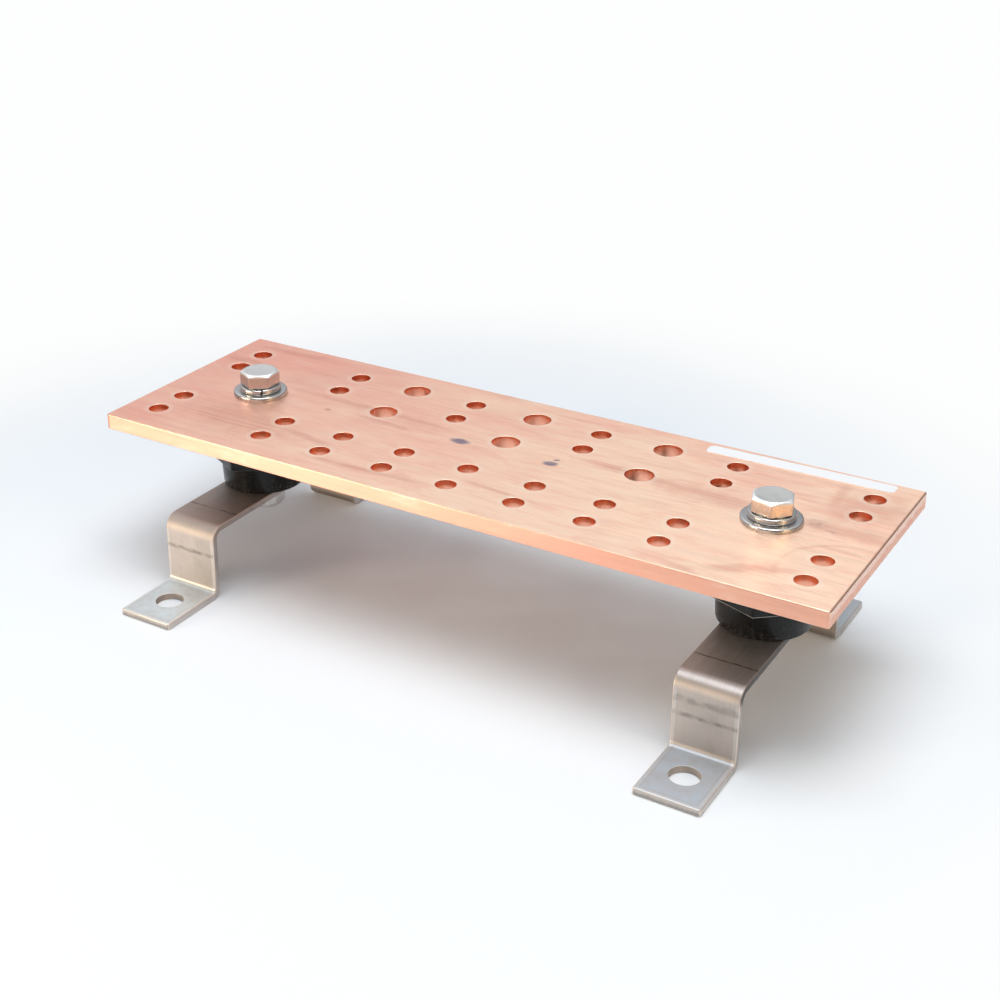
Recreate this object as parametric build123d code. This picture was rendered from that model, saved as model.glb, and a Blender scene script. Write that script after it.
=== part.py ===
from build123d import *
from math import cos, radians, tan
import os

# Drilled copper grounding bar on two moulded insulators and two bent wall brackets.
# Millimetres. X runs along the bar, Y across it, Z is up and the bracket feet stand on Z = 0.

# Copper bar
bar_length = 304.8
bar_width = 101.6
bar_thickness = 6.35
bar_edge_chamfer = 0.35
bar_corner_radius = 1.0

# Lug holes, in pairs along Y on an even pitch along X
hole_pitch = 28.575
hole_edge_distance = 15.875
end_pair_edge_distance = 14.1
small_hole_diameter = 7.94
small_pair_spacing = 15.875
large_hole_diameter = 11.11
large_pair_spacing = 25.4

# Stand-off bolts through the bar and up through the brackets
standoff_end_distance = 39.7
bolt_diameter = 9.525
bolt_hole_clearance = 1.585
top_thread_engagement = 11.6
bottom_thread_engagement = 10.5
head_flats = 14.29
head_height = 5.95
head_washer_face_height = 0.35
head_top_inset = 0.5
head_top_chamfer_angle = 30.0
left_head_turn = 33.6
right_head_turn = -12.7
left_bottom_head_turn = 20.0
right_bottom_head_turn = 5.0

# Washers
flat_washer_clearance = 0.775
flat_washer_rim = 6.0
flat_washer_thickness = 1.8
flat_washer_edge_chamfer = 0.4
lock_washer_clearance = 0.375
lock_washer_rim = 3.7
lock_washer_thickness = 2.4
lock_washer_edge_chamfer = 0.4
lock_washer_split = 0.8
lock_washer_split_slant = 12.0
left_split_angle = -49.0
right_split_angle = 120.0
bottom_split_angle = 60.0

# Moulded insulators
insulator_height = 32.8
insulator_end_radius = 17.3
insulator_end_chamfer = 0.7
insulator_neck_radius = 18.0
insulator_waist_flats = 40.8
insulator_waist_height = 8.3
insulator_waist_corner_radius = 1.5
insulator_waist_chamfer = 0.5
insulator_bore_runout = 1.4
thread_clearance = 0.1
left_insulator_turn = 33.0
right_insulator_turn = 40.5

# Bent strip brackets
strip_width = 24.6
strip_thickness = 2.8
bracket_height = 31.4
bracket_length = 160.4
leg_outer_spacing = 101.2
top_bend_radius = 3.0
foot_bend_radius = 1.8
foot_hole_end_distance = 15.2
foot_hole_diameter = 11.11

# Label strip near the far edge of the bar
label_length = 73.0
label_width = 6.5
label_thickness = 0.2
label_corner_radius = 1.8
label_end_gap = 9.9
label_edge_gap = 2.1
label_turn = 0.9

bar_bottom_z = bracket_height + insulator_height
bar_top_z = bar_bottom_z + bar_thickness
bracket_bottom_z = bracket_height - strip_thickness
standoff_x = bar_length / 2 - standoff_end_distance
bolt_hole_diameter = bolt_diameter + bolt_hole_clearance


def pair_centres(columns, side, spacing):
    """Hole centres in pairs across the bar, the outer row a fixed distance from the long edge."""
    outer_y = bar_width / 2 - hole_edge_distance
    return [(x, side * y) for x in columns for y in (outer_y, outer_y - spacing)]


def lug_holes():
    """Diameter and centres of the lug holes in the far and near halves of the bar."""
    end_x = bar_length / 2 - end_pair_edge_distance
    far_columns = [-end_x, -3 * hole_pitch, -hole_pitch, hole_pitch, 3 * hole_pitch, end_x]
    near_columns = [-end_x] + [step * hole_pitch for step in range(-3, 4)] + [end_x]
    large_columns = [-2 * hole_pitch, 0, 2 * hole_pitch]
    return [
        (small_hole_diameter, pair_centres(far_columns, 1, small_pair_spacing)),
        (small_hole_diameter, pair_centres(near_columns, -1, small_pair_spacing)),
        (large_hole_diameter, pair_centres(large_columns, 1, large_pair_spacing)),
    ]


def copper_bar():
    plate = extrude(RectangleRounded(bar_length, bar_width, bar_corner_radius), bar_thickness)
    flat_faces = plate.faces().sort_by(Axis.Z)
    plate = chamfer(flat_faces[0].edges() + flat_faces[-1].edges(), bar_edge_chamfer)
    bolt_holes = (bolt_hole_diameter, [(-standoff_x, 0), (standoff_x, 0)])
    for diameter, centres in lug_holes() + [bolt_holes]:
        places = Locations(*[(x, y, bar_thickness / 2) for x, y in centres])
        plate -= places * Cylinder(diameter / 2, 2 * bar_thickness)
    return Pos(0, 0, bar_bottom_z) * plate


def label_strip():
    """Thin strip with rounded corners, stuck flat on the bar and a little askew."""
    centre_x = bar_length / 2 - label_end_gap - label_length / 2
    centre_y = bar_width / 2 - label_edge_gap - label_width / 2
    strip = extrude(RectangleRounded(label_length, label_width, label_corner_radius), label_thickness)
    return Pos(centre_x, centre_y, bar_top_z) * Rot(0, 0, label_turn) * strip


def insulator(turn):
    """Round moulding with a hexagonal waist, tapered to both ends, with a blind bore in each end."""
    waist_bottom = (insulator_height - insulator_waist_height) / 2
    waist_top = waist_bottom + insulator_waist_height
    profile = Polyline(
        (0, 0),
        (insulator_end_radius - insulator_end_chamfer, 0),
        (insulator_end_radius, insulator_end_chamfer),
        (insulator_neck_radius, waist_bottom),
        (insulator_neck_radius, waist_top),
        (insulator_end_radius, insulator_height - insulator_end_chamfer),
        (insulator_end_radius - insulator_end_chamfer, insulator_height),
        (0, insulator_height),
        close=True,
    )
    outline = RegularPolygon(insulator_waist_flats / 2, 6, major_radius=False)
    outline = fillet(outline.vertices(), insulator_waist_corner_radius)
    waist = Pos(0, 0, waist_bottom) * extrude(outline, insulator_waist_height)
    waist_faces = waist.faces().sort_by(Axis.Z)
    waist = chamfer(waist_faces[0].edges() + waist_faces[-1].edges(), insulator_waist_chamfer)
    body = revolve(Plane.XZ * make_face(profile), Axis.Z) + waist
    bore_radius = bolt_diameter / 2 + thread_clearance
    bottom_depth = bottom_thread_engagement + insulator_bore_runout
    top_depth = top_thread_engagement + insulator_bore_runout
    body -= Pos(0, 0, bottom_depth / 2) * Cylinder(bore_radius, bottom_depth)
    body -= Pos(0, 0, insulator_height - top_depth / 2) * Cylinder(bore_radius, top_depth)
    return Rot(0, 0, turn) * body


def bracket():
    """Flat strip bent into a hat: two feet, two legs and a raised plate, with its three holes."""
    leg_outer_y = leg_outer_spacing / 2
    leg_inner_y = leg_outer_y - strip_thickness
    foot_end_y = bracket_length / 2
    half_outline = [
        (foot_end_y, strip_thickness),
        (foot_end_y, 0),
        (leg_inner_y, 0),
        (leg_inner_y, bracket_bottom_z),
    ]
    outer_outline = [(leg_outer_y, bracket_height), (leg_outer_y, strip_thickness)]
    inner_mirror = [(-y, z) for y, z in reversed(half_outline)]
    outer_mirror = [(-y, z) for y, z in reversed(outer_outline)]
    section = make_face(Polyline(*half_outline, *inner_mirror, *outer_mirror, *outer_outline, close=True))
    bends = [
        (leg_outer_y, bracket_height, top_bend_radius + strip_thickness),
        (leg_inner_y, bracket_bottom_z, top_bend_radius),
        (leg_outer_y, strip_thickness, foot_bend_radius),
        (leg_inner_y, 0, foot_bend_radius + strip_thickness),
    ]
    for y, z, radius in bends:
        for bend_y in (-y, y):
            corner = section.vertices().sort_by_distance((bend_y, z, 0))[0]
            section = fillet(corner, radius)
    strip = extrude(Plane.YZ * section, strip_width / 2, both=True)
    strip -= Pos(0, 0, bracket_height) * Cylinder(bolt_hole_diameter / 2, 3 * strip_thickness)
    foot_hole_y = foot_end_y - foot_hole_end_distance
    for hole_y in (-foot_hole_y, foot_hole_y):
        strip -= Pos(0, hole_y, 0) * Cylinder(foot_hole_diameter / 2, 3 * strip_thickness)
    return strip


def hex_bolt(length, turn):
    """Hexagon head bolt with its bearing face on Z = 0 and its shank pointing down."""
    flat_radius = head_flats / 2
    corner_radius = flat_radius / cos(radians(30))
    top_radius = flat_radius - head_top_inset
    chamfer_drop = (corner_radius - top_radius) * tan(radians(head_top_chamfer_angle))
    profile = Polyline(
        (0, 0),
        (flat_radius, 0),
        (flat_radius, head_washer_face_height),
        (corner_radius, head_washer_face_height),
        (corner_radius, head_height - chamfer_drop),
        (top_radius, head_height),
        (0, head_height),
        close=True,
    )
    head = extrude(RegularPolygon(flat_radius, 6, major_radius=False), head_height)
    head &= revolve(Plane.XZ * make_face(profile), Axis.Z)
    shank = Pos(0, 0, -length / 2) * Cylinder(bolt_diameter / 2, length)
    return Rot(0, 0, turn) * (head + shank)


def flat_washer():
    bore_radius = (bolt_diameter + flat_washer_clearance) / 2
    ring = Cylinder(bore_radius + flat_washer_rim, flat_washer_thickness)
    ring = chamfer(ring.edges().sort_by(Axis.Z)[-1], flat_washer_edge_chamfer)
    ring -= Cylinder(bore_radius, 2 * flat_washer_thickness)
    return Pos(0, 0, flat_washer_thickness / 2) * ring


def lock_washer(split_angle):
    """Spring washer pressed flat, cut through by one slanted split."""
    bore_radius = (bolt_diameter + lock_washer_clearance) / 2
    outer_radius = bore_radius + lock_washer_rim
    ring = Cylinder(outer_radius, lock_washer_thickness)
    ring = chamfer(ring.edges().filter_by(GeomType.CIRCLE), lock_washer_edge_chamfer)
    ring -= Cylinder(bore_radius, 2 * lock_washer_thickness)
    split = Box(2 * outer_radius, lock_washer_split, 3 * lock_washer_thickness)
    ring -= Pos(outer_radius, 0, 0) * Rot(lock_washer_split_slant, 0, 0) * split
    return Pos(0, 0, lock_washer_thickness / 2) * Rot(0, 0, split_angle) * ring


def top_fasteners(split_angle, head_turn):
    """Flat washer, lock washer and bolt that hold the bar down on the insulator."""
    lock_z = bar_top_z + flat_washer_thickness
    head_z = lock_z + lock_washer_thickness
    length = head_z - bar_bottom_z + top_thread_engagement
    return {
        "top_flat_washer": Pos(0, 0, bar_top_z) * flat_washer(),
        "top_lock_washer": Pos(0, 0, lock_z) * lock_washer(split_angle),
        "top_bolt": Pos(0, 0, head_z) * hex_bolt(length, head_turn),
    }


def bottom_fasteners(head_turn):
    """Lock washer and bolt that hold the insulator on the bracket from below."""
    washer_z = bracket_bottom_z - lock_washer_thickness
    length = bracket_height - washer_z + bottom_thread_engagement
    return {
        "bottom_lock_washer": Pos(0, 0, washer_z) * lock_washer(bottom_split_angle),
        "bottom_bolt": Pos(0, 0, washer_z) * Rot(180, 0, 0) * hex_bolt(length, head_turn),
    }


def standoff(side_name):
    """One bracket with its insulator and fasteners, at its end of the bar."""
    left = side_name == "left"
    turn = left_insulator_turn if left else right_insulator_turn
    pieces = {"bracket": bracket(), "insulator": Pos(0, 0, bracket_height) * insulator(turn)}
    split_angle = left_split_angle if left else right_split_angle
    pieces |= top_fasteners(split_angle, left_head_turn if left else right_head_turn)
    pieces |= bottom_fasteners(left_bottom_head_turn if left else right_bottom_head_turn)
    place = Pos(-standoff_x if left else standoff_x, 0, 0)
    return {f"{name}_{side_name}": place * piece for name, piece in pieces.items()}


nodes = {"copper_bar": copper_bar(), "label_strip": label_strip()}
nodes |= standoff("left") | standoff("right")

os.makedirs("parts", exist_ok=True)
for name, piece in nodes.items():
    export_step(piece, f"parts/{name}.step")
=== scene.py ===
from math import atan2, cos, radians, sin, tan
import bmesh
import bpy
import numpy as np
from mathutils import Matrix, Vector


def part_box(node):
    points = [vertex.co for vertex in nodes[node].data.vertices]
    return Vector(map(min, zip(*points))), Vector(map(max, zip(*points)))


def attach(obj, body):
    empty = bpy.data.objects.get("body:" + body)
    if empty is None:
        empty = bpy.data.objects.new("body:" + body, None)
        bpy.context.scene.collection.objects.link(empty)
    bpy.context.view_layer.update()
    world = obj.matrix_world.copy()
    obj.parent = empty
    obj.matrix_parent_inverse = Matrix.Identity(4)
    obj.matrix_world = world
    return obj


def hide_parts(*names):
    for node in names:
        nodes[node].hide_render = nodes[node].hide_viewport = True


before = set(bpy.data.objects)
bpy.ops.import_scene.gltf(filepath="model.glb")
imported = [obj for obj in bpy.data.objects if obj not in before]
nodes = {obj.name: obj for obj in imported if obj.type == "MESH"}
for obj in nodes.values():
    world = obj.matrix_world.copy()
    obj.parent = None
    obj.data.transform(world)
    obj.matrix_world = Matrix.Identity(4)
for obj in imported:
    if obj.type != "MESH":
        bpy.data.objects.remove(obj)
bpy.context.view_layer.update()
mm = 0.001
weld = 0.002 * mm  # points closer than this are merged
sides = ("left", "right")
print("frame loaded:", len(nodes), "nodes")


# Where things are, read from the frame

barLow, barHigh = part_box("copper_bar")
standoffX = {side: sum(corner.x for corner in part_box("insulator_" + side)) / 2 for side in sides}
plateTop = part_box("bracket_left")[1].z


# Mesh helpers

def softProfile(corners, cuts, steps=4):
    # A profile with eased corners. Each corner is a pair (radius, height), and either may be an array over
    # the angles. Near a corner the line is a quadratic curve between two points that lie its cut away
    # from the corner, on the lines before and after it.
    pairs = [np.stack(np.broadcast_arrays(*map(np.asarray, corner)), -1).astype(float) for corner in corners]
    width = max(pair.ndim for pair in pairs)
    points = np.stack(np.broadcast_arrays(*[pair if pair.ndim == width else pair[None] for pair in pairs]))
    rows = []
    share = np.linspace(0, 1, steps)
    for place, cut in enumerate(cuts):
        here = points[place]
        if cut == 0:
            rows.append(here[None])
            continue
        before = points[place - 1] - here
        after = points[(place + 1) % len(points)] - here
        start = here + before * cut / np.maximum(np.linalg.norm(before, axis=-1, keepdims=True), cut)
        end = here + after * cut / np.maximum(np.linalg.norm(after, axis=-1, keepdims=True), cut)
        t = share.reshape(-1, *[1] * here.ndim)
        rows.append((1 - t) ** 2 * start + 2 * t * (1 - t) * here + t ** 2 * end)
    return np.concatenate(rows)


def hexAngles(flats, corner, cornerSteps=5, flatSteps=12):
    # Angles round a hexagon, close together on its rounded corners. A corner points along X.
    reach = (flats / 2 - corner) / cos(radians(30))
    turn = atan2(corner * sin(radians(30)), reach + corner * cos(radians(30)))
    sector = np.concatenate([
        np.linspace(-turn, turn, cornerSteps, endpoint=False),
        np.linspace(turn, radians(60) - turn, flatSteps, endpoint=False),
    ])
    return np.add.outer(radians(60) * np.arange(6), sector).ravel()


def hexRadius(angles, flats, corner):
    # Distance from the axis to a hexagon with rounded corners: half the flats over the cosine of the angle
    # from a flat's middle, and within a corner the far crossing of the ray with the corner's circle.
    fromCorner = np.abs((angles + radians(30)) % radians(60) - radians(30))
    reach = (flats / 2 - corner) / cos(radians(30))
    turn = atan2(corner * sin(radians(30)), reach + corner * cos(radians(30)))
    onFlat = flats / 2 / np.cos(radians(30) - fromCorner)
    inside = np.maximum(corner ** 2 - (reach * np.sin(fromCorner)) ** 2, 0)
    return np.where(fromCorner < turn, reach * np.cos(fromCorner) + np.sqrt(inside), onFlat)


def turnedGrid(profile, angles, centre, turn=0.0, flip=False):
    # Points of a profile carried round the Z axis: x = r cos a, y = r sin a, z = h, then turned about the
    # axis, upside down if flipped, and moved to its centre.
    radius = np.broadcast_to(profile[..., 0].reshape(len(profile), -1), (len(profile), len(angles)))
    height = np.broadcast_to(profile[..., 1].reshape(len(profile), -1), (len(profile), len(angles)))
    around = angles + turn
    side = -1 if flip else 1
    points = np.stack([radius * np.cos(around), side * radius * np.sin(around), side * height], -1)
    return points + np.array(centre)


def gridFaces(rows, columns, wrapRows, wrapColumns):
    # Quads between neighbours of a grid, closed across its seams where it wraps.
    index = np.arange(rows * columns).reshape(rows, columns)
    if wrapRows:
        index = np.vstack([index, index[:1]])
    if wrapColumns:
        index = np.hstack([index, index[:, :1]])
    quads = np.stack([index[:-1, :-1], index[1:, :-1], index[1:, 1:], index[:-1, 1:]], -1)
    return quads.reshape(-1, 4).tolist()


def closedShell(mesh):
    # The mesh with seams and poles merged and its faces turned outwards.
    shell = bmesh.new()
    shell.from_mesh(mesh)
    bmesh.ops.remove_doubles(shell, verts=shell.verts, dist=weld)
    bmesh.ops.recalc_face_normals(shell, faces=shell.faces)
    return shell


def linked(name, data):
    holder = bpy.data.objects.new(name, data)
    bpy.context.scene.collection.objects.link(holder)
    return holder


def putPiece(name, mesh, material, replaced):
    piece = linked(name, mesh)
    mesh.materials.append(material)
    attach(piece, "root")
    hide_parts(replaced)


def addPiece(name, points, faces, material, slot, replaced, sharpAngle=38.0):
    mesh = bpy.data.meshes.new(name)
    mesh.from_pydata(points.reshape(-1, 3).tolist(), [], faces)
    shell = closedShell(mesh)
    shell.to_mesh(mesh)
    shell.free()
    mesh.shade_smooth()
    mesh.set_sharp_from_angle(angle=radians(sharpAngle))
    putPiece(name, mesh, material, replaced)


def addTurned(name, corners, cuts, angles, seat, turn, flip, *skin):
    # A profile with its corners cut by so many mm, carried round an axis that stands at the seat.
    profile = softProfile([(r + 0 * angles, h + 0 * angles) for r, h in corners], np.array(cuts) * mm, 5)
    grid = turnedGrid(profile, angles, seat, radians(turn), flip)
    addPiece(name, grid, gridFaces(len(profile), len(angles), False, True), *skin)


def roundedLoop(halfX, halfY, radius, steps=9):
    # A rectangle with rounded corners, as centres, radius, directions and side: each point lies the radius
    # away from its corner's centre, and the plate is on the inner side.
    quarter = np.repeat(np.arange(4), steps)
    around = np.tile(np.linspace(0, radians(90), steps), 4) + radians(90) * quarter
    signs = np.array([(1, 1), (-1, 1), (-1, -1), (1, -1)])[quarter]
    centres = signs * (np.array([halfX, halfY]) - radius)
    return centres, radius, np.stack([np.cos(around), np.sin(around)], -1), 1


def holeLoop(x, y, radius, steps=64):
    # A hole's circle, x = r cos a, y = r sin a about its centre, with the plate on the outer side.
    around = np.linspace(0, radians(360), steps, endpoint=False)
    directions = np.stack([np.cos(around), np.sin(around)], -1)
    return np.array([x, y]) + 0 * directions, radius, directions, -1


def rowsOf(items, name, kind=float):
    # One property of all the items, three numbers to a row.
    values = np.empty(len(items) * 3, kind)
    items.foreach_get(name, values)
    return values.reshape(-1, 3)


def filledSheet(outlines):
    # Triangles that fill the first outline and leave the others open.
    sheet = bpy.data.curves.new("sheet", "CURVE")
    sheet.dimensions = "2D"
    sheet.fill_mode = "BOTH"
    for outline in outlines:
        spline = sheet.splines.new("POLY")
        spline.points.add(len(outline) - 1)
        spline.points.foreach_set("co", np.pad(outline, ((0, 0), (0, 2))).ravel().astype(np.float32))
        spline.use_cyclic_u = True
    holder = bpy.data.objects.new("sheet", sheet)
    flat = bpy.data.meshes.new_from_object(holder)
    flat.calc_loop_triangles()
    places = rowsOf(flat.vertices, "co")
    corners = rowsOf(flat.loop_triangles, "vertices", int)
    bpy.data.objects.remove(holder)
    bpy.data.curves.remove(sheet)
    bpy.data.meshes.remove(flat)
    return places[:, :2], corners


def drilledPlate(loops, eases, thick, steps=5):
    # A flat plate about the XY plane with eased edges. Over an edge the line is a quarter circle: at angle a
    # it lies w (1 - cos a) inside the loop and w (1 - sin a) under the face, and it faces cos a outwards
    # and sin a upwards. Flat sheets close the plate above and below.
    turns = radians(90) * np.linspace(1, 0, steps)
    tilts = np.concatenate([turns, -turns[::-1]])[:, None, None]
    points, facings, faces, count = [], [], [], 0
    for (centres, radius, directions, side), ease in zip(loops, eases):
        rise = thick / 2 - ease * (1 - np.sin(turns))
        heights = np.concatenate([rise, -rise[::-1]])[:, None, None]
        flat = centres + (radius - side * ease * (1 - np.cos(tilts))) * directions
        points.append(np.concatenate([flat, heights + 0 * flat[..., :1]], -1).reshape(-1, 3))
        outward = np.cos(tilts) * side * directions
        facings.append(np.concatenate([outward, np.sin(tilts) + 0 * outward[..., :1]], -1).reshape(-1, 3))
        faces += (np.array(gridFaces(2 * steps, len(directions), False, True)) + count).tolist()
        count += 2 * steps * len(directions)
    rims = [centres + (radius - side * ease) * directions
            for (centres, radius, directions, side), ease in zip(loops, eases)]
    sheet, triangles = filledSheet(rims)
    for way in (1, -1):
        points.append(np.pad(sheet, ((0, 0), (0, 1)), constant_values=way * thick / 2))
        facings.append(np.broadcast_to((0.0, 0.0, float(way)), (len(sheet), 3)))
        faces += (triangles + count).tolist()
        count += len(sheet)
    mesh = bpy.data.meshes.new("plate")
    mesh.from_pydata(np.concatenate(points).tolist(), [], faces)
    facing = mesh.attributes.new("facing", "FLOAT_VECTOR", "POINT")
    facing.data.foreach_set("vector", np.concatenate(facings).ravel())
    plate = closedShell(mesh)
    bpy.data.meshes.remove(mesh)
    return plate


def addPlate(name, plate, bend, material, replaced):
    # The plate's points and the ways they face are carried by bend, and the facings become its normals.
    mesh = bpy.data.meshes.new(name)
    plate.to_mesh(mesh)
    plate.free()
    places, facings = bend(rowsOf(mesh.vertices, "co"), rowsOf(mesh.attributes["facing"].data, "vector"))
    mesh.vertices.foreach_set("co", places.ravel())
    mesh.attributes.remove(mesh.attributes["facing"])
    mesh.update()
    mesh.shade_smooth()
    mesh.normals_split_custom_set_from_vertices(facings.tolist())
    putPiece(name, mesh, material, replaced)


# Material helpers

def newMaterial(name):
    material = bpy.data.materials.new(name)
    material.use_nodes = True
    tree = material.node_tree
    return material, tree, tree.nodes["Principled BSDF"]


def addNode(tree, kind, inputs, **settings):
    made = tree.nodes.new("ShaderNode" + kind)
    for name, value in settings.items():
        setattr(made, name, value)
    for place, value in inputs.items():
        if isinstance(value, bpy.types.NodeSocket):
            tree.links.new(value, made.inputs[place])
        else:
            made.inputs[place].default_value = value
    return made


def place(tree):
    return addNode(tree, "TexCoord", {}).outputs["Object"]


def parts(tree, vector):
    return addNode(tree, "SeparateXYZ", {0: vector}).outputs


def normalParts(tree):
    return parts(tree, addNode(tree, "NewGeometry", {}).outputs["Normal"])


def work(tree, operation, first, second=0.0):
    return addNode(tree, "Math", {0: first, 1: second}, operation=operation).outputs[0]


def times(tree, total, *values):
    for value in values:
        total = work(tree, "MULTIPLY", total, value)
    return total


def plus(tree, total, *values):
    for value in values:
        total = work(tree, "ADD", total, value)
    return total


def minus(tree, first, second):
    return work(tree, "SUBTRACT", first, second)


def size(tree, value):
    return work(tree, "ABSOLUTE", value)


def apart(tree, first, second):
    # The distance between two values, |first - second|.
    return size(tree, minus(tree, first, second))


def combined(tree, operation, first, second=(0, 0, 0), output=0):
    return addNode(tree, "VectorMath", {0: first, 1: second}, operation=operation).outputs[output]


def flatReach(tree, coords, centre):
    # Distance from an upright axis, and the way from it along X and Y.
    away = combined(tree, "MULTIPLY", combined(tree, "SUBTRACT", coords, centre), (1, 1, 0))
    return combined(tree, "LENGTH", away, output="Value"), away


def blend(tree, share, first, second):
    return addNode(tree, "Mix", {0: share, 2: first, 3: second}).outputs[0]


def noise(tree, vector, scale, detail=3.0, rough=0.5, distortion=0.0, shift=(0, 0, 0)):
    # A scale of three numbers stretches the pattern, so that it makes a grain.
    if isinstance(scale, tuple):
        vector = addNode(tree, "Mapping", {"Vector": vector, "Scale": scale, "Location": shift}).outputs[0]
        scale = 1.0
    inputs = {"Vector": vector, "Scale": scale, "Detail": detail, "Roughness": rough}
    return addNode(tree, "TexNoise", {**inputs, "Distortion": distortion}).outputs["Fac"]


def spread(tree, value, low, high, toLow=0.0, toHigh=1.0, smooth=False):
    kind = "SMOOTHSTEP" if smooth else "LINEAR"
    inputs = {"Value": value, "From Min": low, "From Max": high, "To Min": toLow, "To Max": toHigh}
    return addNode(tree, "MapRange", inputs, interpolation_type=kind).outputs[0]


def mixed(tree, share, first, second):
    ready = [value if isinstance(value, bpy.types.NodeSocket) else (*value, 1.0) for value in (first, second)]
    return addNode(tree, "Mix", {0: share, 6: ready[0], 7: ready[1]}, data_type="RGBA").outputs[2]


def spot(tree, coords, centre, length, width, turn, soft, ragged, grain):
    # A mark with a soft, ragged edge: 1 inside an ellipse on the XY plane, 0 outside.
    moved = combined(tree, "SUBTRACT", coords, (*centre, 0))
    inputs = {"Vector": moved, "Angle": -turn}
    turned = addNode(tree, "VectorRotate", inputs, rotation_type="Z_AXIS").outputs[0]
    sized = combined(tree, "MULTIPLY", turned, (2 / length, 2 / width, 0))
    reach = combined(tree, "LENGTH", sized, output="Value")
    rough = spread(tree, noise(tree, coords, grain, 3), 0.2, 0.8, -ragged, ragged)
    return spread(tree, plus(tree, reach, rough), 1 - soft, 1 + soft, 1.0, 0.0, smooth=True)


def most(tree, values):
    total = values[0]
    for value in values[1:]:
        total = work(tree, "MAXIMUM", total, value)
    return total


def spots(tree, coords, marks, soft, ragged, grain):
    # The greatest of several marks, each given as x, y, length and width in mm and a turn in degrees.
    return most(tree, [
        spot(tree, coords, (x * mm, y * mm), length * mm, width * mm, radians(turn), soft, ragged, grain)
        for x, y, length, width, turn in marks
    ])


def dress(tree, shader, colour, roughness, reliefs, metallic=0.0):
    # A relief is a pattern of heights, its strength and its depth in mm, laid over the one before it.
    relief = {}
    for height, strength, depth in reliefs:
        inputs = {"Height": height, "Strength": strength, "Distance": depth * mm, **relief}
        relief = {"Normal": addNode(tree, "Bump", inputs).outputs[0]}
    for name, value in {"Base Color": colour, "Roughness": roughness, **relief}.items():
        tree.links.new(value, shader.inputs[name])
    shader.inputs["Metallic"].default_value = metallic


# Copper finish

drilling = {
    "pitch": 28.575 * mm, "endColumn": 138.3 * mm, "outerY": barHigh.y - 15.875 * mm,
    "smallGap": 15.875 * mm, "largeGap": 25.4 * mm, "smallRadius": 3.97 * mm, "largeRadius": 5.555 * mm,
}
copper = {
    "pale": (0.99, 0.74, 0.56), "rosy": (0.92, 0.49, 0.385),
    "face": (0.87, 0.46, 0.33), "end": (0.98, 0.72, 0.60),
    "brown": (0.55, 0.27, 0.19), "blush": (0.85, 0.42, 0.33), "stainAndShade": (0.63, 0.27, 0.20),
    "wall": (0.88, 0.34, 0.19), "shadedWall": (0.76, 0.23, 0.115), "floorLitWall": (0.96, 0.465, 0.325),
    "deepSmall": (1.7 * mm, 2.9 * mm), "deepLarge": (0.5 * mm, 1.5 * mm),
    "ink": (0.20, 0.17, 0.25), "sooty": (0.27, 0.19, 0.18), "cream": (0.96, 0.80, 0.66),
    "burr": (0.30, 0.14, 0.09), "darkCorner": (0.62, 0.27, 0.20),
    "roughness": (0.36, 0.48), "faceRoughness": 0.36, "wallRoughness": 0.37,
    "inkMarks": [(-15.6, 0.9, 7.8, 4.2, -4), (24.2, 0.9, 5.4, 3.6, 10), (24.9, 4.9, 2.4, 1.2, 20)],
    "stainsAndShade": [
        (92.0, 6.5, 46, 9, 0), (139.0, 4.5, 34, 7, -3), (127.6, 5.4, 4.0, 3.2, 0), (98.5, -48.2, 12, 3.4, -8),
        # The broad mark at -104, -27 is painted shadow and reflection of the left bolt
        (138.0, 26.0, 26, 22, 30), (-140.0, 26.0, 22, 5, 0), (-104.0, -27.0, 46, 22, -8),
        (-52.0, 0.5, 24, 3.0, -4), (-70.0, -27.0, 26, 4.0, -12), (-78.0, -0.2, 2.2, 1.8, 0),
        (-62.0, 9.5, 62, 3.6, -2), (60.0, 9.0, 40, 4.5, -4), (-128.0, 44.0, 36, 4.0, 2),
        (-30.0, -40.0, 44, 3.0, 3), (18.0, -30.0, 26, 2.4, -6), (118.0, -38.0, 26, 5.0, 28),
        (127.0, 30.0, 5.0, 24, 4),
    ],
    "soot": [(127.2, 5.6, 8.0, 5.2, 0), (133.5, 2.2, 4.0, 1.6, -8), (-78.2, -0.4, 2.4, 2.0, 0)],
    "arc": {"centre": (147.6 * mm, -27.0 * mm, 0), "radius": 22 * mm, "width": 1.3 * mm, "share": 0.21},
    "haloWidth": 2.6 * mm, "haloShare": 0.26,
    "burnish": 2.4 * mm, "edgeBand": 1.5 * mm,
}


def holeHalo(tree, x, y):
    # Nearness to a hole's rim: 1 on the rim, 0 a halo's width away from it. The columns repeat, so a
    # ping-pong of X gives the distance to the nearest one.
    fromMiddle = size(tree, x)
    pitch, outerY = drilling["pitch"], drilling["outerY"]
    beyond = work(tree, "GREATER_THAN", fromMiddle, 3.4 * pitch)
    toEnd = apart(tree, fromMiddle, drilling["endColumn"])
    every = work(tree, "PINGPONG", fromMiddle, pitch / 2)
    odd = work(tree, "PINGPONG", minus(tree, fromMiddle, pitch), pitch)
    even = work(tree, "PINGPONG", fromMiddle, pitch)
    halos = []
    for columns, sign, kind in ((every, -1, "small"), (odd, 1, "small"), (even, 1, "large")):
        away = [apart(tree, y, sign * row) for row in (outerY, outerY - drilling[kind + "Gap"])]
        inColumn = plus(tree, columns, beyond)
        if kind == "small":
            inColumn = work(tree, "MINIMUM", inColumn, toEnd)
        nearest = addNode(tree, "CombineXYZ", {0: inColumn, 1: work(tree, "MINIMUM", *away)}).outputs[0]
        reach = combined(tree, "LENGTH", nearest, output="Value")
        rim, wide = drilling[kind + "Radius"], copper["haloWidth"]
        halos.append(spread(tree, reach, rim + 0.5 * wide, rim + wide, 1, 0, True))
    return most(tree, halos)


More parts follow.
